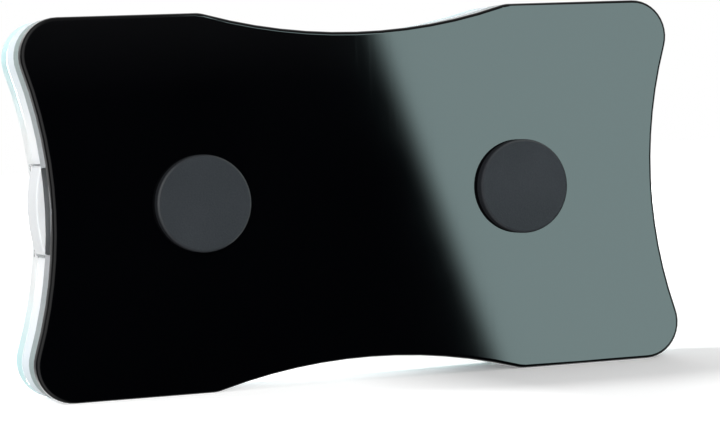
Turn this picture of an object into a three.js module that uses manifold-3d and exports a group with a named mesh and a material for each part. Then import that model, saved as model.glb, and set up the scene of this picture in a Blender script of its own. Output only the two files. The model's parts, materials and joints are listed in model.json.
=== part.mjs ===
// Two-dial score counter for board games, standing on one long edge with its rubber feet facing -Y.
// A flat sandwich of four plates with the same waisted outline: base plate, spacer frame, housing
// frame and clear cover. Two thumb dials turn inside it and stand out through its two short sides.
// Units are millimetres. X runs along the length, Z is up, and +Y is the front that players read.
// Inside the assembly, y counts the height of the stack: 0 is the outer face of the base plate.

import * as THREE from "three";
import { mergeVertices } from "three/addons/utils/BufferGeometryUtils.js";
import Module from "manifold-3d";

const wasm = await Module();
wasm.setup();

// Outline shared by the four plates
const LENGTH = 110;
const HEIGHT = 60;
const CORNER_RADIUS = 6;
const LONG_WAIST_DEPTH = 3.75;
const LONG_WAIST_SPAN = 52;
const LONG_WAIST_END_RADIUS = 6;
const SHORT_WAIST_DEPTH = 3.8;

// Thickness of each layer and of the cement on the clear cover, and the rounding of the two outer faces
const BASE_THICKNESS = 2;
const SPACER_THICKNESS = 3.5;
const HOUSING_THICKNESS = 5;
const CEMENT_THICKNESS = 0.1;
const COVER_THICKNESS = 4.9;
const BASE_ROUNDING = 0.6;
const COVER_ROUNDING = 0.8;

// Dials
const RIM_PROTRUSION = 1.35;
const DIAL_GAP = 3.9;
const LEAST_LONG_WALL = 4;
const DIAL_DIGITS = 10;
const DIAL_RIM_WIDTH = 5.8;
const DIAL_WEB_THICKNESS = 2;
const DIAL_HUB_RADIUS = 6;
const DIAL_BACK_CHAMFER = 0.2;
const DIAL_FRONT_ROUNDING = 0.7;
const FINGER_NOTCH_RADIUS = 1.4;
const FINGER_NOTCH_DEPTH = 0.5;
const NUMBER_DISC_THICKNESS = 0.4;
const NUMBER_DISC_RIM = 1.8;
const NUMBER_DISC_INNER_RADIUS = 8;

// Window masks, cemented to the floor of the pockets in the clear cover
const MASK_THICKNESS = 0.4;
const MASK_EDGE_INSET = 0.1;
const COVER_WEB_THICKNESS = 2;
const WINDOW_WIDTH = 8.4;
const WINDOW_HEIGHT = 10.4;
const WINDOW_CORNER_RADIUS = 1.2;
const DIGIT_RING_INSET = 7.3;

// Pivots: a countersunk screw holds a stepped post, and a cap keeps the dial on it
const POST_FLANGE_RADIUS = 6;
const POST_RADIUS = 3;
const POST_TIP_RADIUS = 2.2;
const RETAINER_RADIUS = 4.6;
const RETAINER_THICKNESS = 0.9;
const WASHER_THICKNESS = 0.5;
const SCREW_RADIUS = 1.25;
const SCREW_HEAD_RADIUS = 3;
const SCREW_HEAD_HEIGHT = 1.5;
const SCREW_ENGAGEMENT = 6;
const HEX_SOCKET_RADIUS = 1.1;
const HEX_SOCKET_DEPTH = 0.9;

// Detents: a bowed leaf spring in a block that closes the spacer frame beside each dial
const BLOCK_LENGTH = 13.4;
const BLOCK_NECK_DEPTH = 2.4;
const BLOCK_HEAD_DEPTH = 3;
const BLOCK_HEAD_OVERHANG = 1.8;
const SPRING_THICKNESS = 0.3;
const SPRING_WIDTH = 2.4;
const SPRING_LENGTH = 11;
const SPRING_BOW = 0.6;
const SPRING_POCKET_DEPTH = 1.5;
const DETENT_INSET = 3.35;
const DETENT_GROOVE_RADIUS = 1.1;
const DETENT_GROOVE_DEPTH = 0.7;
const DETENT_ENGAGEMENT = 0.4;
const DETENT_NOSE_HALF_WIDTH = 1;

// Feet and locating pins
const FOOT_RADIUS = 7.7;
const FOOT_THICKNESS = 1.8;
const FOOT_ROUNDING = 0.5;
const PIN_RADIUS = 1;
const PIN_DEPTH = 3.4;

// Clearances
const RIM_CLEARANCE = 0.15;
const FACE_CLEARANCE = 0.2;
const BORE_CLEARANCE = 0.08;
const SEAT_CLEARANCE = 0.1;

// Roundness
const ARC_STEPS = 6;
const ROUND_SIDES = 60;
const SMALL_SIDES = 20;
const GROOVE_SIDES = 8;
const ROUNDING_STEPS = 4;
const PAST_FACE = 1;

// Levels of the stack, from the outer face of the base plate
const spacerBack = BASE_THICKNESS;
const housingBack = spacerBack + SPACER_THICKNESS;
const housingFront = housingBack + HOUSING_THICKNESS;
const coverBack = housingFront + CEMENT_THICKNESS;
const front = coverBack + COVER_THICKNESS;
const pocketFloor = front - COVER_WEB_THICKNESS;
const maskFront = pocketFloor - CEMENT_THICKNESS;
const maskBack = maskFront - MASK_THICKNESS;
const dialBack = housingBack + FACE_CLEARANCE;
const dialFront = maskBack - FACE_CLEARANCE;
const retainerBack = dialFront - RETAINER_THICKNESS - SEAT_CLEARANCE;
const hubBack = dialBack - FACE_CLEARANCE;
const washerBack = hubBack - SEAT_CLEARANCE - WASHER_THICKNESS;
const springFloor = housingBack - SPRING_POCKET_DEPTH;

// Dial size and place follow from the room between the short sides and between the long sides
const waistX = LENGTH / 2 - SHORT_WAIST_DEPTH;
const radiusByLength = (waistX + RIM_PROTRUSION - DIAL_GAP / 2) / 2;
const radiusByHeight = HEIGHT / 2 - LEAST_LONG_WALL - RIM_CLEARANCE;
const dialRadius = Math.min(radiusByLength, radiusByHeight);
const axleX = -(waistX + RIM_PROTRUSION - dialRadius);
const pocketRadius = dialRadius + RIM_CLEARANCE;
const digitRingRadius = dialRadius - DIGIT_RING_INSET;
const detentRadius = dialRadius - DETENT_INSET;
const blockInnerX = BLOCK_NECK_DEPTH + BLOCK_HEAD_DEPTH - waistX;
const cavityRadius = axleX + waistX - BLOCK_NECK_DEPTH - SEAT_CLEARANCE;

// Solids

function solidOf(geometry) {
  const bare = new THREE.BufferGeometry();
  const flat = geometry.index ? geometry.toNonIndexed() : geometry;
  bare.setAttribute("position", flat.getAttribute("position"));
  const merged = mergeVertices(bare, 1e-4);
  const mesh = new wasm.Mesh({
    numProp: 3,
    vertProperties: new Float32Array(merged.attributes.position.array),
    triVerts: new Uint32Array(merged.index.array),
  });
  return new wasm.Manifold(mesh);
}

function geometryOf(solid) {
  const mesh = solid.getMesh();
  const geometry = new THREE.BufferGeometry();
  geometry.setAttribute("position", new THREE.BufferAttribute(mesh.vertProperties, 3));
  geometry.setIndex(new THREE.BufferAttribute(mesh.triVerts, 1));
  return geometry;
}

// A flat shape drawn in X and Z, filled from one level of the stack to another
function slab(shape, from, to, steps = ARC_STEPS) {
  const options = { depth: to - from, bevelEnabled: false, curveSegments: steps };
  return solidOf(new THREE.ExtrudeGeometry(shape, options).rotateX(Math.PI / 2).translate(0, to, 0));
}

// A slab whose upper and lower outlines are rounded
function roundedSlab(shape, from, to, rounding) {
  const options = {
    depth: to - from - 2 * rounding,
    bevelThickness: rounding,
    bevelSize: rounding,
    bevelOffset: -rounding,
    bevelSegments: ROUNDING_STEPS,
    curveSegments: ARC_STEPS,
  };
  const geometry = new THREE.ExtrudeGeometry(shape, options);
  return solidOf(geometry.rotateX(Math.PI / 2).translate(0, to - rounding, 0));
}

function roundBar(radius, from, to, x = 0, z = 0, sides = ROUND_SIDES) {
  const geometry = new THREE.CylinderGeometry(radius, radius, to - from, sides);
  return solidOf(geometry.translate(x, (from + to) / 2, z));
}

function turned(profile, x = 0, sides = ROUND_SIDES) {
  const points = profile.map(([radius, y]) => new THREE.Vector2(radius, y));
  return solidOf(new THREE.LatheGeometry(points, sides).translate(x, 0, 0));
}

function box(width, from, to, height, x = 0, z = 0) {
  const geometry = new THREE.BoxGeometry(width, to - from, height);
  return solidOf(geometry.translate(x, (from + to) / 2, z));
}

// Angles of equal steps around a dial, the first one on its outer side plus an offset
function aroundDial(offset = 0) {
  return Array.from({ length: DIAL_DIGITS }, (_, i) => Math.PI + offset + (i * 2 * Math.PI) / DIAL_DIGITS);
}

// The outline: long waists whose ends are rounded, and short waists that run into the corners
function outline(inset = 0) {
  const a = LENGTH / 2 - inset;
  const h = HEIGHT / 2 - inset;
  const r = CORNER_RADIUS;
  const depth = SHORT_WAIST_DEPTH;
  const shortRadius = ((r - depth) ** 2 + (h - r) ** 2 - r ** 2) / (2 * depth);
  const shortCentre = a - depth + shortRadius;
  const meet = Math.atan2(h - r, shortCentre - (a - r));
  const longRadius = ((LONG_WAIST_SPAN / 2) ** 2 + LONG_WAIST_DEPTH ** 2) / (2 * LONG_WAIST_DEPTH);
  const longCentre = h - LONG_WAIST_DEPTH + longRadius;
  const e = LONG_WAIST_END_RADIUS;
  const endX = Math.sqrt((longRadius + e) ** 2 - (longCentre - h + e) ** 2);
  const end = Math.atan2(longCentre - h + e, endX);
  const up = Math.PI / 2;
  const shape = new THREE.Shape();
  shape.absarc(-endX, e - h, e, -up, -end, false);
  shape.absarc(0, -longCentre, longRadius, Math.PI - end, end, true);
  shape.absarc(endX, e - h, e, Math.PI + end, 3 * up, false);
  shape.absarc(a - r, r - h, r, -up, meet, false);
  shape.absarc(shortCentre, 0, shortRadius, Math.PI + meet, Math.PI - meet, true);
  shape.absarc(a - r, h - r, r, -meet, up, false);
  shape.absarc(endX, h - e, e, up, Math.PI - end, false);
  shape.absarc(0, longCentre, longRadius, -end, end - Math.PI, true);
  shape.absarc(-endX, h - e, e, end, up, false);
  shape.absarc(r - a, h - r, r, up, Math.PI + meet, false);
  shape.absarc(-shortCentre, 0, shortRadius, meet, -meet, true);
  shape.absarc(r - a, r - h, r, Math.PI - meet, 3 * up, false);
  return shape;
}

function roundedRectangle(width, height, radius, x) {
  const w = width / 2 - radius;
  const h = height / 2 - radius;
  const shape = new THREE.Shape();
  const quarter = Math.PI / 2;
  [[w, -h, -1], [w, h, 0], [-w, h, 1], [-w, -h, 2]].forEach(([cx, cy, turn]) => {
    shape.absarc(x + cx, cy, radius, turn * quarter, (turn + 1) * quarter, false);
  });
  return shape;
}

// Plates

function pinPlaces() {
  const x = LENGTH / 2 - CORNER_RADIUS;
  const z = HEIGHT / 2 - CORNER_RADIUS;
  return { lower_left: [-x, -z], lower_right: [x, -z], upper_left: [-x, z], upper_right: [x, z] };
}

function pinHoles(from, to) {
  const holes = Object.values(pinPlaces());
  return holes.map(([x, z]) => roundBar(PIN_RADIUS + SEAT_CLEARANCE, from, to, x, z, SMALL_SIDES));
}

function cutAll(solid, cuts) {
  return cuts.reduce((rest, cut) => rest.subtract(cut), solid);
}

function basePlate() {
  const rounded = roundedSlab(outline(), 0, 2 * BASE_THICKNESS, BASE_ROUNDING);
  const plate = rounded.intersect(slab(outline(), 0, BASE_THICKNESS));
  const outer = SCREW_HEAD_RADIUS + SEAT_CLEARANCE;
  const inner = SCREW_RADIUS + SEAT_CLEARANCE;
  const profile = [[0, -PAST_FACE], [outer, -PAST_FACE], [outer, SEAT_CLEARANCE]];
  profile.push([inner, SCREW_HEAD_HEIGHT + SEAT_CLEARANCE], [inner, BASE_THICKNESS + PAST_FACE]);
  profile.push([0, BASE_THICKNESS + PAST_FACE]);
  return cutAll(plate, [-1, 1].map((side) => turned(profile, side * axleX, SMALL_SIDES)));
}

// The block's plan: a neck that is flush with the short side, and a wider head that holds it in
function blockPlan(growth, from, to) {
  const neckEnd = BLOCK_NECK_DEPTH - waistX;
  const neckWidth = BLOCK_NECK_DEPTH + BLOCK_HEAD_DEPTH / 2 + PAST_FACE;
  const neck = box(neckWidth, from, to, BLOCK_LENGTH + 2 * growth, neckEnd + BLOCK_HEAD_DEPTH / 2 - neckWidth / 2);
  const headLength = BLOCK_LENGTH + 2 * BLOCK_HEAD_OVERHANG + 2 * growth;
  const head = box(BLOCK_HEAD_DEPTH + 2 * growth, from, to, headLength, blockInnerX - BLOCK_HEAD_DEPTH / 2);
  return neck.add(head);
}

function spacerFrame() {
  const plate = slab(outline(), spacerBack, housingBack);
  const cuts = pinHoles(housingBack - PIN_DEPTH, housingBack + PAST_FACE);
  const seat = blockPlan(SEAT_CLEARANCE, spacerBack - PAST_FACE, housingBack + PAST_FACE);
  [1, -1].forEach((side) => {
    cuts.push(roundBar(cavityRadius, spacerBack - PAST_FACE, housingBack + PAST_FACE, side * axleX));
    cuts.push(side > 0 ? seat : seat.scale([-1, 1, 1]));
  });
  return cutAll(plate, cuts);
}

function housingFrame() {
  const cuts = pinHoles(housingBack - PAST_FACE, housingBack + PIN_DEPTH);
  [-1, 1].forEach((side) => {
    cuts.push(roundBar(pocketRadius, housingBack - PAST_FACE, housingFront + PAST_FACE, side * axleX));
  });
  return cutAll(slab(outline(), housingBack, housingFront), cuts);
}

function clearCover() {
  const rounded = roundedSlab(outline(), front - 2 * COVER_THICKNESS, front, COVER_ROUNDING);
  const plate = rounded.intersect(slab(outline(), coverBack, front));
  return cutAll(plate, [-1, 1].map((side) => roundBar(pocketRadius, coverBack - PAST_FACE, pocketFloor, side * axleX)));
}

// One dial's pieces, made for the left side

function dial() {
  const ringInner = dialRadius - DIAL_RIM_WIDTH;
  const frontEdge = Array.from({ length: ROUNDING_STEPS + 1 }, (_, i) => {
    const angle = (i * Math.PI) / 2 / ROUNDING_STEPS;
    const radius = dialRadius - DIAL_FRONT_ROUNDING * (1 - Math.cos(angle));
    return [radius, dialFront - DIAL_FRONT_ROUNDING * (1 - Math.sin(angle))];
  });
  const bore = POST_RADIUS + BORE_CLEARANCE;
  const webBack = dialFront - DIAL_WEB_THICKNESS;
  const recessFloor = dialFront - NUMBER_DISC_THICKNESS;
  const recessOuter = dialRadius - NUMBER_DISC_RIM;
  const capRadius = RETAINER_RADIUS + SEAT_CLEARANCE;
  const capFloor = retainerBack - SEAT_CLEARANCE;
  const profile = [
    [bore, hubBack], [DIAL_HUB_RADIUS, hubBack], [DIAL_HUB_RADIUS, webBack], [ringInner, webBack],
    [ringInner, dialBack], [dialRadius - DIAL_BACK_CHAMFER, dialBack],
    [dialRadius, dialBack + DIAL_BACK_CHAMFER], ...frontEdge, [recessOuter, dialFront],
    [recessOuter, recessFloor], [NUMBER_DISC_INNER_RADIUS, recessFloor],
    [NUMBER_DISC_INNER_RADIUS, dialFront], [capRadius, dialFront], [capRadius, capFloor],
    [bore, capFloor], [bore, hubBack],
  ];
  const cuts = aroundDial(Math.PI / DIAL_DIGITS).map(fingerNotch);
  return cutAll(turned(profile), cuts.concat(aroundDial().map(detentGroove))).translate([axleX, 0, 0]);
}

function fingerNotch(angle) {
  const reach = dialRadius - FINGER_NOTCH_DEPTH + FINGER_NOTCH_RADIUS;
  const x = reach * Math.cos(angle);
  const z = reach * Math.sin(angle);
  return roundBar(FINGER_NOTCH_RADIUS, dialBack - PAST_FACE, dialFront + PAST_FACE, x, z, SMALL_SIDES);
}

function detentGroove(angle) {
  const bar = new THREE.CylinderGeometry(DETENT_GROOVE_RADIUS, DETENT_GROOVE_RADIUS, SPRING_WIDTH + 1, GROOVE_SIDES);
  bar.rotateZ(Math.PI / 2);
  bar.translate(detentRadius, dialBack + DETENT_GROOVE_DEPTH - DETENT_GROOVE_RADIUS, 0);
  return solidOf(bar.rotateY(-angle));
}

function numberDisc() {
  const outer = dialRadius - NUMBER_DISC_RIM - SEAT_CLEARANCE;
  const inner = NUMBER_DISC_INNER_RADIUS + SEAT_CLEARANCE;
  const back = dialFront - NUMBER_DISC_THICKNESS;
  return turned([[inner, back], [outer, back], [outer, dialFront], [inner, dialFront], [inner, back]], axleX);
}

function windowMask() {
  const disc = roundBar(pocketRadius - SEAT_CLEARANCE, maskBack, maskFront, axleX);
  const windowX = axleX + digitRingRadius;
  const opening = roundedRectangle(WINDOW_WIDTH, WINDOW_HEIGHT, WINDOW_CORNER_RADIUS, windowX);
  const trimmed = disc.intersect(slab(outline(MASK_EDGE_INSET), maskBack - PAST_FACE, maskFront + PAST_FACE));
  return trimmed.subtract(slab(opening, maskBack - PAST_FACE, maskFront + PAST_FACE, 3));
}

function pivotPost() {
  const bore = SCREW_RADIUS + SEAT_CLEARANCE;
  const boreEnd = BASE_THICKNESS + SCREW_ENGAGEMENT + SEAT_CLEARANCE;
  const tip = retainerBack + RETAINER_THICKNESS;
  return turned([
    [bore, spacerBack], [POST_FLANGE_RADIUS, spacerBack], [POST_FLANGE_RADIUS, washerBack],
    [POST_RADIUS, washerBack], [POST_RADIUS, retainerBack], [POST_TIP_RADIUS, retainerBack],
    [POST_TIP_RADIUS, tip], [0, tip], [0, boreEnd], [bore, boreEnd], [bore, spacerBack],
  ], axleX, SMALL_SIDES);
}

function frictionWasher() {
  const inner = POST_RADIUS + BORE_CLEARANCE;
  const outer = DIAL_HUB_RADIUS - SEAT_CLEARANCE;
  const top = washerBack + WASHER_THICKNESS;
  const profile = [[inner, washerBack], [outer, washerBack], [outer, top], [inner, top], [inner, washerBack]];
  return turned(profile, axleX, SMALL_SIDES);
}

function retainerCap() {
  const inner = POST_TIP_RADIUS + BORE_CLEARANCE;
  const top = retainerBack + RETAINER_THICKNESS;
  const outer = RETAINER_RADIUS;
  const profile = [[inner, retainerBack], [outer, retainerBack], [outer, top], [inner, top], [inner, retainerBack]];
  return turned(profile, axleX, SMALL_SIDES);
}

function pivotScrew() {
  const tip = BASE_THICKNESS + SCREW_ENGAGEMENT;
  const profile = [[0, SEAT_CLEARANCE], [SCREW_HEAD_RADIUS, SEAT_CLEARANCE], [SCREW_RADIUS, SCREW_HEAD_HEIGHT]];
  profile.push([SCREW_RADIUS, tip], [0, tip]);
  const socket = roundBar(HEX_SOCKET_RADIUS, -PAST_FACE, HEX_SOCKET_DEPTH, axleX, 0, 6);
  return turned(profile, axleX, SMALL_SIDES).subtract(socket);
}

function rubberFoot() {
  const rounding = Array.from({ length: ROUNDING_STEPS + 1 }, (_, i) => {
    const angle = (i * Math.PI) / 2 / ROUNDING_STEPS;
    const radius = FOOT_RADIUS - FOOT_ROUNDING * (1 - Math.sin(angle));
    return [radius, -FOOT_THICKNESS + FOOT_ROUNDING * (1 - Math.cos(angle))];
  });
  return turned([[0, -FOOT_THICKNESS], ...rounding, [FOOT_RADIUS, 0], [0, 0]], axleX);
}

function detentBlock() {
  const plan = blockPlan(0, spacerBack, housingBack).intersect(slab(outline(), spacerBack, housingBack));
  const pocket = box(
    SPRING_WIDTH + 2 * SEAT_CLEARANCE, springFloor, housingBack + PAST_FACE,
    SPRING_LENGTH + 2 * SEAT_CLEARANCE, axleX - detentRadius,
  );
  return plan.subtract(pocket);
}

// Height of the bowed leaf above its pocket floor: a flat bow with a raised nose in the middle
function leafHeight(z) {
  const bow = SPRING_BOW * (1 - (2 * z / SPRING_LENGTH) ** 2);
  const noseRise = dialBack + DETENT_ENGAGEMENT - springFloor - SPRING_THICKNESS - SPRING_BOW;
  return bow + noseRise * Math.max(0, 1 - Math.abs(z) / DETENT_NOSE_HALF_WIDTH);
}

function detentSpring() {
  const steps = 2 * SPRING_LENGTH;
  const places = Array.from({ length: steps + 1 }, (_, i) => SPRING_LENGTH * (i / steps - 0.5));
  const back = places.map((z) => new THREE.Vector2(z, springFloor + leafHeight(z)));
  const face = back.map((point) => new THREE.Vector2(point.x, point.y + SPRING_THICKNESS));
  const shape = new THREE.Shape([...back, ...face.reverse()]);
  const geometry = new THREE.ExtrudeGeometry(shape, { depth: SPRING_WIDTH, bevelEnabled: false });
  return solidOf(geometry.rotateY(Math.PI / 2).translate(axleX - detentRadius - SPRING_WIDTH / 2, 0, 0));
}

// Colours and finishes

function finish(color, roughness, metalness = 0, opacity = 1) {
  return { color, roughness, metalness, opacity, transparent: opacity < 1 };
}

const finishes = {
  gloss_black: finish(0x08080a, 0.08),
  frosted_grey: finish(0x9aa3a4, 0.45, 0, 0.9),
  white_plastic: finish(0xf2f3f4, 0.35),
  clear_acrylic: finish(0xdff6f8, 0.05, 0, 0.35),
  dial_plastic: finish(0xe8ebee, 0.4),
  printed_disc: finish(0xf4f2ec, 0.5),
  mask_film: finish(0xeceeef, 0.45),
  dark_grey: finish(0x4a4e52, 0.5),
  rubber: finish(0x33353a, 0.85),
  steel: finish(0xb9bcc0, 0.3, 1),
  brass: finish(0xc9a24b, 0.35, 1),
};

function meshOf(name, solid, look) {
  const mesh = new THREE.Mesh(geometryOf(solid), new THREE.MeshStandardMaterial(finishes[look]));
  mesh.name = name;
  return mesh;
}

// Assembly

const assembly = new THREE.Group();
assembly.position.set(0, (FOOT_THICKNESS - front) / 2, HEIGHT / 2);

assembly.add(meshOf("base_plate", basePlate(), "gloss_black"));
assembly.add(meshOf("spacer_frame", spacerFrame(), "frosted_grey"));
assembly.add(meshOf("housing_frame", housingFrame(), "white_plastic"));
assembly.add(meshOf("clear_cover", clearCover(), "clear_acrylic"));

Object.entries(pinPlaces()).forEach(([place, [x, z]]) => {
  const from = housingBack - PIN_DEPTH + SEAT_CLEARANCE;
  const to = housingBack + PIN_DEPTH - SEAT_CLEARANCE;
  assembly.add(meshOf(`locating_pin_${place}`, roundBar(PIN_RADIUS, from, to, x, z, SMALL_SIDES), "steel"));
});

// The right side is the left one turned half round the Y axis
for (const [side, turn] of [["left", 0], ["right", Math.PI]]) {
  const group = new THREE.Group();
  group.rotation.y = turn;
  group.add(meshOf(`dial_${side}`, dial(), "dial_plastic"));
  group.add(meshOf(`number_disc_${side}`, numberDisc(), "printed_disc"));
  group.add(meshOf(`window_mask_${side}`, windowMask(), "mask_film"));
  group.add(meshOf(`pivot_post_${side}`, pivotPost(), "brass"));
  group.add(meshOf(`friction_washer_${side}`, frictionWasher(), "steel"));
  group.add(meshOf(`retainer_cap_${side}`, retainerCap(), "steel"));
  group.add(meshOf(`pivot_screw_${side}`, pivotScrew(), "steel"));
  group.add(meshOf(`detent_block_${side}`, detentBlock(), "dark_grey"));
  group.add(meshOf(`detent_spring_${side}`, detentSpring(), "steel"));
  group.add(meshOf(`rubber_foot_${side}`, rubberFoot(), "rubber"));
  assembly.add(group);
}

const counter = new THREE.Group();
counter.add(assembly);

export default counter;
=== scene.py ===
"""Looks of the two-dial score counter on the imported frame: finishes, printing, studio and camera."""

import json
import math

import bpy
from mathutils import Matrix, Quaternion, Vector


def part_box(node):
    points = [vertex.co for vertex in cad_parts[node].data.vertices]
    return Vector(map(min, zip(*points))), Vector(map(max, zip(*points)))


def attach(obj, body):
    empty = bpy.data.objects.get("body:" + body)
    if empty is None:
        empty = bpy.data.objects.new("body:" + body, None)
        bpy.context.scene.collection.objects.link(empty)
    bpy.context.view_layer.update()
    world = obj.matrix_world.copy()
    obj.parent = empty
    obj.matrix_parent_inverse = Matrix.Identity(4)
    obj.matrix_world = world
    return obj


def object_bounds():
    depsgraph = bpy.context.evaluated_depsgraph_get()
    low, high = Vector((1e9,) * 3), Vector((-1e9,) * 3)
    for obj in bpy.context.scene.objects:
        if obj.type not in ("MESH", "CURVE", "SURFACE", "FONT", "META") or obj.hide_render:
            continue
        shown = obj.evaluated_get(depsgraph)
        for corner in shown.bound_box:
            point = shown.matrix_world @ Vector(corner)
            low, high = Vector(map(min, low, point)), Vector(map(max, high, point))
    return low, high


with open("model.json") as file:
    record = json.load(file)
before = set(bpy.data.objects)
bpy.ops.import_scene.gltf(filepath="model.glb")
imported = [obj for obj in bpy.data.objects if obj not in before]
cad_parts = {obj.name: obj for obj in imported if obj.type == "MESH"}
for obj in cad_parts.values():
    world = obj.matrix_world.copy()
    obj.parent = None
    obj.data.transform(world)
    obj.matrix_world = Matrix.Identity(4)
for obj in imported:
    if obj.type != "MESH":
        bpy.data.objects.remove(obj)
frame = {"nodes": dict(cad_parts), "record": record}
bpy.context.view_layer.update()
cad_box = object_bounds()

MM = 0.001

# Camera, from the photograph's viewing angle, aimed at a point near the middle of the counter
CAMERA_AZIMUTH = -19.49
CAMERA_ELEVATION = 1.66
CAMERA_ROLL = 2.68
CAMERA_DISTANCE = 0.4266
CAMERA_LENS = 130.5
CAMERA_SENSOR = 36
CAMERA_NEAR = 0.01
CAMERA_AIM = Vector((1.3, -0.5, -2.8)) * MM

# Mesh finishing
WELD_DISTANCE = 0.002 * MM
FLAT_LIMIT = math.radians(0.3)
SMOOTH_LIMIT = math.radians(35)
SHARP_EDGE = math.radians(50)
BROKEN_EDGE = 0.1 * MM
EDGE_WIDTHS = {"frosted_acrylic": BROKEN_EDGE, "white_housing": BROKEN_EDGE}

# Finishes
ACRYLIC_IOR = 1.49
NOISE_SPAN = (0.3, 0.7)
HAIRLINE_STRETCH = (2600, 1, 45)
HAIRLINE_SPAN = (0.70, 0.76)
HAIRLINE_TURNS = (0.5, -1.1)
HAIRLINE_ROUGHNESS = 0.008
CUT_LINE_STRETCH = (1500, 40, 1500)
# Painted shade and glow on the sheets' edges, growing away from the middle of the height
MIDDLE_HEIGHT = 30 * MM
PAINTED_CORNER_SPAN = (12 * MM, 24 * MM)
CUT_EDGE_FACING = (0.5, 0.9)
CUT_EDGE_TRANSMISSION = 0.25
CUT_EDGE_ROUGHNESS = 0.3
SUBSURFACE_RADIUS = (1, 0.9, 0.8)
SHEET_SUBSURFACE = 1.5 * MM
MOULDED_SUBSURFACE = 0.6 * MM

# Painted highlight on the rounded edge of the rubber feet
FOOT_RIM_WIDTH = 0.4 * MM
FOOT_RIM_DEPTH = 0.4 * MM
FOOT_HIGHLIGHT_PATCH_SCALE = 90
FOOT_HIGHLIGHT_PATCH_SPAN = (0.4, 0.6)
FOOT_HIGHLIGHT_LEAST = 0.15
RIM_HIGHLIGHT_COLOR = (0.055, 0.059, 0.062)

# Printing
DIGITS = 10
DIGIT_HEIGHT = 7.2 * MM
DIGIT_BOLDNESS = 0.02
DIGIT_CURVE_STEPS = 6
INK_THICKNESS = 0.03 * MM
SHOWN_DIGIT = {"left": 0, "right": 2}
BORDER_WIDTH = 0.5 * MM
BORDER_CORNER = 1.2 * MM
RING_RADIUS = 23.3 * MM
RING_WIDTH = 0.3 * MM
WINDOW_SIZE = (8.4 * MM, 10.4 * MM)
DIGIT_RING_INSET = 7.3 * MM
FACING_FRONT = Matrix(((-1, 0, 0, 0), (0, 0, 1, 0), (0, 1, 0, 0), (0, 0, 0, 1)))


# Node helpers

def node(tree, kind, inputs=None, **settings):
    """Adds a node. Inputs may be sockets, which get linked, or plain values."""
    made = tree.nodes.new(kind)
    for key, value in settings.items():
        setattr(made, key, value)
    for key, value in (inputs or {}).items():
        if isinstance(value, bpy.types.NodeSocket):
            tree.links.new(value, made.inputs[key])
        else:
            made.inputs[key].default_value = value
    return made


def grey(value):
    return (value, value, value, 1)


def object_space(tree, stretch=(1, 1, 1), turn=(0, 0, 0)):
    place = node(tree, "ShaderNodeTexCoord").outputs["Object"]
    inputs = {"Vector": place, "Rotation": turn, "Scale": stretch}
    return node(tree, "ShaderNodeMapping", inputs).outputs["Vector"]


def noise(tree, vector, scale, detail=2.0):
    inputs = {"Vector": vector, "Scale": scale, "Detail": detail}
    return node(tree, "ShaderNodeTexNoise", inputs).outputs["Fac"]


def remap(tree, value, low, high, to_low, to_high):
    inputs = {"Value": value, "From Min": low, "From Max": high, "To Min": to_low, "To Max": to_high}
    return node(tree, "ShaderNodeMapRange", inputs).outputs["Result"]


def spread(tree, pattern, low, high):
    """Spreads the middle of a noise over a range."""
    return remap(tree, pattern, *NOISE_SPAN, low, high)


def blend_colors(tree, factor, first, second):
    mix = node(tree, "ShaderNodeMix", {"Factor": factor}, data_type="RGBA")
    for socket, value in ((mix.inputs[6], first), (mix.inputs[7], second)):
        if isinstance(value, bpy.types.NodeSocket):
            tree.links.new(value, socket)
        else:
            socket.default_value = (*value[:3], 1)
    return mix.outputs[2]


def math_node(tree, operation, first, second=0.0):
    return node(tree, "ShaderNodeMath", {0: first, 1: second}, operation=operation).outputs["Value"]


def bump(tree, height, depth, strength):
    inputs = {"Height": height, "Distance": depth, "Strength": strength}
    return node(tree, "ShaderNodeBump", inputs).outputs["Normal"]


def new_material(name, **sockets):
    """A material with one Principled shader, and its tree and shader."""
    material = bpy.data.materials.new(name)
    material.use_nodes = True
    tree = material.node_tree
    shader = tree.nodes["Principled BSDF"]
    for key, value in sockets.items():
        shader.inputs[key.replace("_", " ")].default_value = value
    return material, tree, shader


def feed(tree, shader, **sockets):
    """Links sockets into a shader's inputs."""
    for key, value in sockets.items():
        tree.links.new(value, shader.inputs[key.replace("_", " ")])


# Finishes

def hairlines(tree, turn):
    """Sparse straight hairline scratches in one direction of the X-Z plane."""
    lines = noise(tree, object_space(tree, HAIRLINE_STRETCH, (0, turn, 0)), 1.0, 0.0)
    return remap(tree, lines, *HAIRLINE_SPAN, 0, 1)


def gloss_black(name):
    """Polished black sheet: a faint haze, a few hairlines, and a surface that is not quite flat."""
    material, tree, shader = new_material(name, IOR=ACRYLIC_IOR)
    place = object_space(tree)
    clouds = noise(tree, place, 45, 3)
    scratches = math_node(tree, "ADD", *(hairlines(tree, turn) for turn in HAIRLINE_TURNS))
    haze = spread(tree, clouds, 0.03, 0.045)
    worn = math_node(tree, "ADD", haze, math_node(tree, "MULTIPLY", scratches, HAIRLINE_ROUGHNESS))
    black = blend_colors(tree, clouds, (0.0003, 0.0004, 0.0007), (0.0007, 0.0008, 0.0012))
    feed(tree, shader, Base_Color=black, Roughness=worn)
    feed(tree, shader, Normal=bump(tree, noise(tree, place, 30, 0), 0.01 * MM, 0.5))
    return material


def cut_edge_lines(tree):
    """Fine lines that a cutter leaves on an edge, running through the thickness of the sheet."""
    return noise(tree, object_space(tree, CUT_LINE_STRETCH), 1.0, 1.5)


def towards_corners(tree):
    """0 across the middle of the height, rising to 1 at the corners of the outline, where shade and glow are
    painted.
    """
    height = node(tree, "ShaderNodeSeparateXYZ", {"Vector": object_space(tree)}).outputs["Z"]
    off_middle = math_node(tree, "ABSOLUTE", math_node(tree, "SUBTRACT", height, MIDDLE_HEIGHT))
    return remap(tree, off_middle, *PAINTED_CORNER_SPAN, 0, 1)


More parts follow.
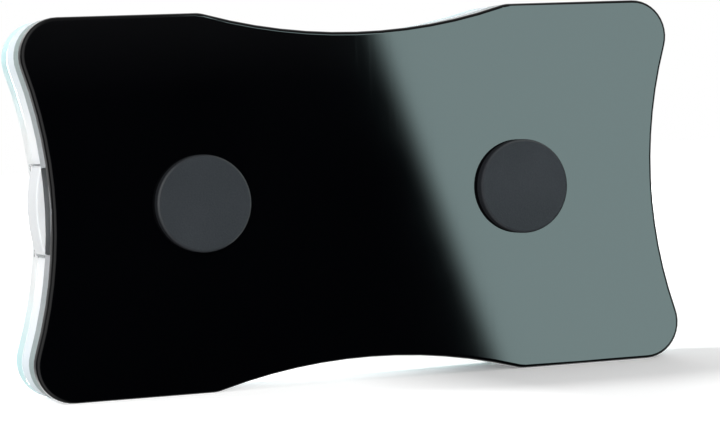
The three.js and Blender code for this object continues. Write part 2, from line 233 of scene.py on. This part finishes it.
def satin_acrylic(name, shade, tint, painted_corner_shade, roughness, subsurface):
    """Satin acrylic sheet with cut edges, and painted shade that makes its tone deeper and cooler towards the
    corners.
    """
    material, tree, shader = new_material(
        name, IOR=ACRYLIC_IOR, Subsurface_Weight=subsurface, Subsurface_Radius=SUBSURFACE_RADIUS,
        Subsurface_Scale=SHEET_SUBSURFACE)
    mottle = noise(tree, object_space(tree), 160, 4)
    lines = cut_edge_lines(tree)
    sheet = blend_colors(tree, spread(tree, mottle, 0, 1), shade, tint)
    # Painted shade: towards the corners the sheet's tone goes deeper and cooler
    feed(tree, shader, Base_Color=blend_colors(tree, towards_corners(tree), sheet, painted_corner_shade))
    feed(tree, shader, Roughness=spread(tree, lines, roughness - 0.07, roughness + 0.07))
    feed(tree, shader, Normal=bump(tree, lines, 0.02 * MM, 0.4))
    return material


def clear_acrylic(name):
    """Clear sheet: polished faces, and satin cut edges with a painted pale cyan glow that grows towards the
    corners.
    """
    material, tree, shader = new_material(name, IOR=ACRYLIC_IOR)
    normal = node(tree, "ShaderNodeNewGeometry").outputs["Normal"]
    facing = node(tree, "ShaderNodeSeparateXYZ", {"Vector": normal}).outputs["Y"]
    edge = remap(tree, math_node(tree, "ABSOLUTE", facing), *CUT_EDGE_FACING, 1, 0)
    lines = cut_edge_lines(tree)
    # Painted light: the cut edges turn pale cyan towards the corners
    glow = blend_colors(tree, towards_corners(tree), (0.97, 1.0, 1.0), (0.66, 0.98, 1.0))
    feed(tree, shader, Base_Color=blend_colors(tree, edge, (0.985, 0.998, 0.998), glow))
    feed(tree, shader, Transmission_Weight=remap(tree, edge, 0, 1, 1.0, CUT_EDGE_TRANSMISSION))
    satin = spread(tree, lines, 0.01, 0.05)
    cut = remap(tree, edge, 0, 1, 0.0, CUT_EDGE_ROUGHNESS)
    feed(tree, shader, Roughness=math_node(tree, "ADD", cut, satin))
    return material


def foot_rim(tree):
    """Up to 1 on the rounded front edge of either foot, in uneven patches, where a highlight is painted, and
    0 elsewhere.
    """
    low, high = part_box("rubber_foot_right")
    place = node(tree, "ShaderNodeSeparateXYZ", {"Vector": object_space(tree)}).outputs
    across = math_node(tree, "SUBTRACT", math_node(tree, "ABSOLUTE", place["X"]), (low.x + high.x) / 2)
    up = math_node(tree, "SUBTRACT", place["Z"], (low.z + high.z) / 2)
    squared = math_node(tree, "ADD", math_node(tree, "POWER", across, 2), math_node(tree, "POWER", up, 2))
    off_centre = math_node(tree, "SQRT", squared)
    edge = (high.z - low.z) / 2
    outer = remap(tree, off_centre, edge - FOOT_RIM_WIDTH, edge - FOOT_RIM_WIDTH / 2, 0, 1)
    front = remap(tree, place["Y"], low.y + FOOT_RIM_DEPTH / 2, low.y + FOOT_RIM_DEPTH, 1, 0)
    patches = noise(tree, object_space(tree), FOOT_HIGHLIGHT_PATCH_SCALE, 0)
    patchy_strength = remap(tree, patches, *FOOT_HIGHLIGHT_PATCH_SPAN, FOOT_HIGHLIGHT_LEAST, 1)
    return math_node(tree, "MULTIPLY", math_node(tree, "MULTIPLY", outer, front), patchy_strength)


def moulded(name, dark, light, roughness, grain=5200, grain_depth=0.012 * MM, subsurface=0.0, painted_highlight=None):
    """Moulded plastic or rubber: faint blotches, a fine grain that the mould leaves, and any painted edge
    highlight.
    """
    material, tree, shader = new_material(
        name, Subsurface_Weight=subsurface, Subsurface_Radius=SUBSURFACE_RADIUS,
        Subsurface_Scale=MOULDED_SUBSURFACE)
    place = object_space(tree)
    blotches = noise(tree, place, 110, 4)
    texture = noise(tree, place, grain, 2)
    shade = blend_colors(tree, spread(tree, blotches, 0, 1), dark, light)
    if painted_highlight:
        # Painted highlight: the rounded edge is lightened towards a paler rubber colour
        shade = blend_colors(tree, painted_highlight(tree), shade, RIM_HIGHLIGHT_COLOR)
    feed(tree, shader, Base_Color=shade)
    feed(tree, shader, Roughness=spread(tree, texture, roughness - 0.06, roughness + 0.06))
    feed(tree, shader, Normal=bump(tree, texture, grain_depth, 0.6))
    return material


def printed_film(name, dark, light, roughness):
    """Printed film: an even ground with the faint fibres of its surface."""
    material, tree, shader = new_material(name)
    fibres = noise(tree, object_space(tree, (3000, 3000, 900), (0, 0.6, 0)), 1.0, 3)
    feed(tree, shader, Base_Color=blend_colors(tree, fibres, dark, light))
    feed(tree, shader, Roughness=spread(tree, fibres, roughness - 0.05, roughness + 0.05))
    feed(tree, shader, Normal=bump(tree, fibres, 0.004 * MM, 0.5))
    return material


def metal(name, dark, light, roughness, stretch):
    """Metal whose tool marks run along the axes where stretch is small."""
    material, tree, shader = new_material(name, Metallic=1.0)
    marks = noise(tree, object_space(tree, stretch), 1.0, 3)
    feed(tree, shader, Base_Color=blend_colors(tree, marks, dark, light))
    feed(tree, shader, Roughness=spread(tree, marks, roughness - 0.08, roughness + 0.08))
    feed(tree, shader, Normal=bump(tree, marks, 0.004 * MM, 0.5))
    return material


finishes = {
    "base_acrylic": gloss_black("base_acrylic"),
    # The third colour of each satin sheet is its painted corner shade
    "frosted_acrylic": satin_acrylic("frosted_acrylic", (0.32, 0.355, 0.365), (0.38, 0.39, 0.41),
                                     (0.30, 0.37, 0.37), 0.45, 0.2),
    "white_housing": satin_acrylic("white_housing", (0.89, 0.91, 0.93), (0.92, 0.94, 0.95),
                                   (0.74, 0.82, 0.87), 0.4, 0.3),
    "clear_acrylic": clear_acrylic("clear_acrylic"),
    "dial_plastic": moulded("dial_plastic", (0.71, 0.73, 0.75), (0.75, 0.77, 0.78), 0.5, subsurface=0.2),
    "printed_disc": printed_film("printed_disc", (0.84, 0.82, 0.78), (0.88, 0.87, 0.84), 0.5),
    "mask_film": printed_film("mask_film", (0.80, 0.81, 0.82), (0.85, 0.86, 0.87), 0.42),
    "dark_grey_plastic": moulded("dark_grey_plastic", (0.028, 0.033, 0.036), (0.038, 0.042, 0.046), 0.5),
    # The feet's rounded edge carries a painted highlight
    "foot_rubber": moulded("foot_rubber", (0.014, 0.016, 0.020), (0.019, 0.021, 0.026), 0.72,
                           grain=3600, grain_depth=0.03 * MM, painted_highlight=foot_rim),
    "steel": metal("steel", (0.55, 0.55, 0.56), (0.66, 0.66, 0.67), 0.3, (400, 3000, 400)),
    "spring_steel": metal("spring_steel", (0.45, 0.45, 0.47), (0.55, 0.55, 0.57), 0.28, (3000, 300, 300)),
    "brass": metal("brass", (0.66, 0.46, 0.18), (0.76, 0.56, 0.26), 0.3, (200, 4000, 200)),
}


# Mesh finishing of the CAD nodes

def smoothing_group():
    """Shades a mesh smooth except where its faces meet at more than the limit."""
    group = bpy.data.node_groups.new("smooth_shading", "GeometryNodeTree")
    for direction in ("INPUT", "OUTPUT"):
        group.interface.new_socket("Geometry", in_out=direction, socket_type="NodeSocketGeometry")
    mesh = node(group, "NodeGroupInput").outputs["Geometry"]
    faces = node(group, "GeometryNodeSetShadeSmooth", {"Geometry": mesh, "Shade Smooth": True}, domain="FACE")
    angle = node(group, "GeometryNodeInputMeshEdgeAngle").outputs["Unsigned Angle"]
    limits = {0: angle, 1: SMOOTH_LIMIT}
    soft = node(group, "FunctionNodeCompare", limits, operation="LESS_THAN", data_type="FLOAT")
    inputs = {"Geometry": faces.outputs["Geometry"], "Shade Smooth": soft.outputs["Result"]}
    edges = node(group, "GeometryNodeSetShadeSmooth", inputs, domain="EDGE")
    node(group, "NodeGroupOutput", {"Geometry": edges.outputs["Geometry"]})
    return group


smooth_shading = smoothing_group()


def finish_mesh(piece, edge_width, whole_faces):
    """Joins split vertices, breaks sharp edges by a small bevel, and smooths the shading of round faces.

    The clear cover keeps its triangles: dissolved faces refract in dark fans.
    """
    stored = piece.data.attributes.get("custom_normal")
    if stored:
        piece.data.attributes.remove(stored)
    weld = piece.modifiers.new("weld", "WELD")
    weld.merge_threshold = WELD_DISTANCE
    if whole_faces:
        flat = piece.modifiers.new("flat_faces_whole", "DECIMATE")
        flat.decimate_type = "DISSOLVE"
        flat.angle_limit = FLAT_LIMIT
    if edge_width:
        bevel = piece.modifiers.new("broken_edges", "BEVEL")
        bevel.width = edge_width
        bevel.segments = 2
        bevel.limit_method = "ANGLE"
        bevel.angle_limit = SHARP_EDGE
        bevel.miter_outer = "MITER_ARC"
    shading = piece.modifiers.new("smooth_shading", "NODES")
    shading.node_group = smooth_shading
    normals = piece.modifiers.new("flat_faces_flat", "WEIGHTED_NORMAL")
    normals.keep_sharp = True
    normals.weight = 100


slot_of = {part["node"]: part["material_slot"] for part in frame["record"]["subparts"]}
for name, piece in frame["nodes"].items():
    slot = slot_of[name]
    piece.data.materials.clear()
    piece.data.materials.append(finishes[slot])
    finish_mesh(piece, EDGE_WIDTHS.get(slot, 0.0), slot != "clear_acrylic")


# Printed digits, window borders and rings

def ink(name, dark, light):
    material, tree, shader = new_material(name)
    specks = noise(tree, object_space(tree), 2500, 3)
    feed(tree, shader, Base_Color=blend_colors(tree, specks, dark, light))
    feed(tree, shader, Roughness=spread(tree, specks, 0.35, 0.5))
    return material


def mesh_of(curve):
    """The mesh of a curve or text, whose temporary object goes away again."""
    holder = bpy.data.objects.new("temporary", curve)
    bpy.context.scene.collection.objects.link(holder)
    bpy.context.view_layer.update()
    mesh = bpy.data.meshes.new_from_object(holder.evaluated_get(bpy.context.evaluated_depsgraph_get()))
    bpy.data.objects.remove(holder)
    return mesh


def digit_mesh(digit):
    """A plain digit in its own X-Y plane, centred, at the printed height, with the thickness of ink."""
    text = bpy.data.curves.new("digit", "FONT")
    text.body = str(digit)
    text.size = DIGIT_HEIGHT
    text.offset = DIGIT_BOLDNESS * DIGIT_HEIGHT
    text.extrude = INK_THICKNESS / 2
    text.resolution_u = DIGIT_CURVE_STEPS
    mesh = mesh_of(text)
    corners = [[f(v.co[axis] for v in mesh.vertices) for f in (min, max)] for axis in range(3)]
    middle = Vector([sum(pair) / 2 for pair in corners])
    scale = DIGIT_HEIGHT / (corners[1][1] - corners[1][0])
    mesh.transform(Matrix.Diagonal((scale, scale, 1, 1)) @ Matrix.Translation(-middle))
    return mesh


def join_meshes(name, meshes, material):
    """One object from several meshes, with one material."""
    vertices, faces = [], []
    for mesh in meshes:
        start = len(vertices)
        vertices += [v.co.copy() for v in mesh.vertices]
        faces += [[start + i for i in polygon.vertices] for polygon in mesh.polygons]
    joined = bpy.data.meshes.new(name)
    joined.from_pydata(vertices, [], faces)
    joined.materials.append(material)
    piece = bpy.data.objects.new(name, joined)
    bpy.context.scene.collection.objects.link(piece)
    return piece


def dial_places(side):
    """The axle at the front of the number disc, and the direction from it to the window."""
    low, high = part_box("dial_" + side)
    axle = Vector(((low.x + high.x) / 2, high.y, (low.z + high.z) / 2))
    radius = (high.z - low.z) / 2
    inward = 1 if side == "left" else -1
    return axle, Vector((inward * (radius - DIGIT_RING_INSET), 0, 0))


def printed_digits(side, material):
    """The digits of one dial, turned so that the one shown at rest stands in its window."""
    axle, to_window = dial_places(side)
    lifted = Vector((0, INK_THICKNESS / 2, 0))
    meshes = []
    for digit in range(DIGITS):
        mesh = digit_mesh(digit)
        turn = Matrix.Rotation(math.tau * (digit - SHOWN_DIGIT[side]) / DIGITS, 4, "Y")
        place = Matrix.Translation(axle + lifted) @ turn @ Matrix.Translation(to_window)
        mesh.transform(place @ FACING_FRONT)
        meshes.append(mesh)
    piece = join_meshes("digits_" + side, meshes, material)
    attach(piece, side + "_dial")


def rounded_rectangle(width, height, radius, steps=8):
    """Corner points of a rounded rectangle, anticlockwise."""
    points = []
    for quarter, (sx, sy) in enumerate(((1, 1), (-1, 1), (-1, -1), (1, -1))):
        for step in range(steps + 1):
            angle = (quarter + step / steps) * math.pi / 2
            x = sx * (width / 2 - radius) + radius * math.cos(angle)
            y = sy * (height / 2 - radius) + radius * math.sin(angle)
            points.append((x, y))
    return points


def circle(radius, steps=120):
    angles = [math.tau * i / steps for i in range(steps)]
    return [(radius * math.cos(angle), radius * math.sin(angle)) for angle in angles]


def printed_line(name, inner, outer, place, material):
    """A closed printed line between two outlines, just in front of a window mask. It rides on the case."""
    count = len(inner)
    vertices, faces = [], []
    for level in (0, INK_THICKNESS):
        vertices += [Vector((x, y, level)) for x, y in inner + outer]
    for i in range(count):
        j = (i + 1) % count
        ring = [i, j, count + j, count + i]
        top = [2 * count + k for k in ring]
        faces += [ring, top[::-1]]
        faces += [[ring[0], top[0], top[1], ring[1]], [ring[2], top[2], top[3], ring[3]]]
    mesh = bpy.data.meshes.new("line")
    mesh.from_pydata(vertices, [], faces)
    mesh.transform(Matrix.Translation(place) @ FACING_FRONT)
    piece = join_meshes(name, [mesh], material)
    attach(piece, "case")


def mask_printing(side, material):
    """The border round a window, and a ring near the edge of the mask."""
    axle, to_window = dial_places(side)
    axle.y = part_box("window_mask_" + side)[1].y
    width, height = WINDOW_SIZE
    inner = rounded_rectangle(width, height, BORDER_CORNER)
    outer_size = (width + 2 * BORDER_WIDTH, height + 2 * BORDER_WIDTH)
    outer = rounded_rectangle(*outer_size, BORDER_CORNER + BORDER_WIDTH)
    printed_line("window_border_" + side, inner, outer, axle + to_window, material)
    rings = circle(RING_RADIUS), circle(RING_RADIUS + RING_WIDTH)
    printed_line("mask_ring_" + side, *rings, axle, material)


digit_ink = ink("digit_ink", (0.018, 0.019, 0.022), (0.03, 0.031, 0.035))
border_ink = ink("border_ink", (0.10, 0.105, 0.11), (0.14, 0.145, 0.15))
for dial_side in ("left", "right"):
    printed_digits(dial_side, digit_ink)
    mask_printing(dial_side, border_ink)


# Studio

ROOM_LIGHT = 0.43
ROOM_SPAN = (0.02, 0.1)
ROOM_LEVELS = (0.003, 0.2)
BACKDROP_SPAN = (-0.05, 0.20)
DIMMED_SPAN = (-0.3, -0.1)
DIMMED_LEVELS = (0.1, 1)
WINDOW_ACROSS = (-0.4, 0.14)
WINDOW_BEFORE = (-0.3, 0)
WINDOW_LIGHT = 0.8
CARD_COLOR = (4.1, 5.5, 5.5)
CARD_DISTANCE = 0.9
CARD_WIDTH = 0.5
CARD_HEIGHT = 0.8
CARD_TILT = math.radians(18.4)
CARD_EDGE = Vector((0.355, -CARD_DISTANCE, 0.0065))
CARD_SOFT_EDGE = 0.022
CARD_FALLOFF = 2.5
FLOOR_SIZE = 8
FLOOR_SHOWN = 1.0
FLOOR_ALBEDO = 0.75
FLOOR_ROUGHNESS = 0.9
FLOOR_GLOW_SPAN = (0.1, 0.35)
FLOOR_GLOW = (0.17, 0.7)
FLOOR_GLOW_LEFT = 0.6
FLOOR_GLOW_LEFT_SPAN = (-0.004, 0.026)
LAMP_AIM = Vector((0, 0, 0.03))
LAMPS = {
    "key_lamp": (8.1, 0.25, (-0.85, 0.40, 0.72)),
    "back_lamp": (12.0, 0.6, (-0.3, -1.1, 0.18)),
    "front_lamp": (5.0, 0.5, (0.4, 1.1, 0.28)),
}


def studio_world():
    """White to the camera and through glass.

    Gloss sees a backdrop behind the counter, dimmed to the left, and before it a dark room with a soft
    window to the left. All else gets an even light.
    """
    world = bpy.data.worlds.new("studio")
    world.use_nodes = True
    tree = world.node_tree
    tree.nodes.clear()
    rays = node(tree, "ShaderNodeLightPath").outputs
    direction = node(tree, "ShaderNodeTexCoord").outputs["Generated"]
    along = node(tree, "ShaderNodeSeparateXYZ", {"Vector": direction}).outputs
    room = remap(tree, along["Z"], *ROOM_SPAN, *ROOM_LEVELS)
    backdrop = remap(tree, along["Y"], *BACKDROP_SPAN, 0, 1)
    dimmed = math_node(tree, "MULTIPLY", backdrop, remap(tree, along["X"], *DIMMED_SPAN, *DIMMED_LEVELS))
    across = remap(tree, along["X"], *WINDOW_ACROSS, WINDOW_LIGHT, 0)
    window = math_node(tree, "MULTIPLY", across, remap(tree, along["Y"], *WINDOW_BEFORE, 1, 0))
    mirrored = math_node(tree, "MAXIMUM", math_node(tree, "MAXIMUM", room, window), dimmed)
    looked_at = math_node(tree, "MAXIMUM", rays["Is Camera Ray"], rays["Is Transmission Ray"])
    glossy = math_node(tree, "MULTIPLY", rays["Is Glossy Ray"], mirrored)
    seen = math_node(tree, "MAXIMUM", looked_at, glossy)
    unseen = math_node(tree, "SUBTRACT", 1.0, math_node(tree, "MAXIMUM", looked_at, rays["Is Glossy Ray"]))
    strength = math_node(tree, "ADD", seen, math_node(tree, "MULTIPLY", unseen, ROOM_LIGHT))
    background = node(tree, "ShaderNodeBackground", {"Color": grey(1), "Strength": strength})
    node(tree, "ShaderNodeOutputWorld", {"Surface": background.outputs[0]})
    bpy.context.scene.world = world


def plane(name, width, height, material):
    """A flat sheet in its own X-Y plane, centred on its origin."""
    w, h = width / 2, height / 2
    mesh = bpy.data.meshes.new(name)
    mesh.from_pydata([(-w, -h, 0), (w, -h, 0), (w, h, 0), (-w, h, 0)], [], [(0, 1, 2, 3)])
    mesh.materials.append(material)
    sheet = bpy.data.objects.new(name, mesh)
    bpy.context.scene.collection.objects.link(sheet)
    return sheet


def floor():
    """A matt floor that shows shadows. To the camera it is lifted towards the white around it, and more so
    towards the left, a painted light that pales the counter's shadow there.
    """
    material, tree, shader = new_material("floor", Roughness=FLOOR_ROUGHNESS)
    rays = node(tree, "ShaderNodeLightPath").outputs
    looked_at = math_node(tree, "MAXIMUM", rays["Is Camera Ray"], rays["Is Transmission Ray"])
    feed(tree, shader, Base_Color=blend_colors(tree, looked_at, grey(FLOOR_ALBEDO), grey(FLOOR_SHOWN)))
    away = node(tree, "ShaderNodeVectorMath", {0: object_space(tree)}, operation="LENGTH").outputs["Value"]
    around = remap(tree, away, *FLOOR_GLOW_SPAN, *FLOOR_GLOW)
    # Painted light: the floor glows more to the left, which pales the shadow there
    across = node(tree, "ShaderNodeSeparateXYZ", {"Vector": object_space(tree)}).outputs["X"]
    left = remap(tree, across, *FLOOR_GLOW_LEFT_SPAN, FLOOR_GLOW_LEFT, 0)
    glow = math_node(tree, "MULTIPLY", looked_at, math_node(tree, "MAXIMUM", around, left))
    shader.inputs["Emission Color"].default_value = grey(1)
    feed(tree, shader, Emission_Strength=glow)
    sheet = plane("floor", FLOOR_SIZE, FLOOR_SIZE, material)
    sheet.visible_glossy = False


def reflection_card():
    """A grey-green card that only gloss sees. Its soft slanting edge crosses the black plate's reflection."""
    material = bpy.data.materials.new("reflection_card")
    material.use_nodes = True
    tree = material.node_tree
    tree.nodes.clear()
    across = node(tree, "ShaderNodeSeparateXYZ", {"Vector": object_space(tree)}).outputs["X"]
    near = -CARD_WIDTH / 2
    inputs = {"Value": across, "From Min": near, "From Max": near + CARD_SOFT_EDGE}
    ramp = node(tree, "ShaderNodeMapRange", inputs, interpolation_type="SMOOTHSTEP").outputs["Result"]
    fade = math_node(tree, "POWER", ramp, CARD_FALLOFF)
    light = node(tree, "ShaderNodeEmission", {"Color": (*CARD_COLOR, 1), "Strength": fade})
    node(tree, "ShaderNodeOutputMaterial", {"Surface": light.outputs[0]})
    card = plane("reflection_card", CARD_WIDTH, CARD_HEIGHT, material)
    card.rotation_euler = (math.pi / 2, -CARD_TILT, 0)
    bpy.context.view_layer.update()
    across_card = card.rotation_euler.to_matrix() @ Vector((1, 0, 0))
    card.location = CARD_EDGE + across_card * (CARD_WIDTH - CARD_SOFT_EDGE) / 2
    for kind in ("camera", "diffuse", "transmission", "volume_scatter", "shadow"):
        setattr(card, "visible_" + kind, False)


def lamp(name, power, size, place):
    """A round area lamp aimed at the counter, which gloss does not see."""
    light = bpy.data.lights.new(name, "AREA")
    light.energy = power
    light.shape = "DISK"
    light.size = size
    holder = bpy.data.objects.new(name, light)
    holder.location = place
    holder.rotation_euler = (LAMP_AIM - Vector(place)).to_track_quat("-Z", "Y").to_euler()
    holder.visible_glossy = False
    bpy.context.scene.collection.objects.link(holder)


studio_world()
floor()
reflection_card()
for lamp_name, (lamp_power, lamp_size, lamp_place) in LAMPS.items():
    lamp(lamp_name, lamp_power, lamp_size, lamp_place)


# Camera

def aim_camera():
    lens = bpy.data.cameras.new("camera")
    lens.lens = CAMERA_LENS
    lens.sensor_width = CAMERA_SENSOR
    lens.clip_start = CAMERA_NEAR
    camera = bpy.data.objects.new("camera", lens)
    bpy.context.scene.collection.objects.link(camera)
    azimuth = math.radians(CAMERA_AZIMUTH)
    elevation = math.radians(CAMERA_ELEVATION)
    level = Vector((math.sin(azimuth), -math.cos(azimuth), 0)) * math.cos(elevation)
    back = level + Vector((0, 0, math.sin(elevation)))
    middle = (cad_box[0] + cad_box[1]) / 2
    camera.rotation_mode = "QUATERNION"
    roll = Quaternion((0, 0, 1), -math.radians(CAMERA_ROLL))
    camera.rotation_quaternion = (-back).to_track_quat("-Z", "Y") @ roll
    camera.location = middle + CAMERA_AIM + back * CAMERA_DISTANCE
    bpy.context.scene.camera = camera


aim_camera()
bpy.context.scene.view_settings.view_transform = "Standard"
bpy.context.view_layer.update()
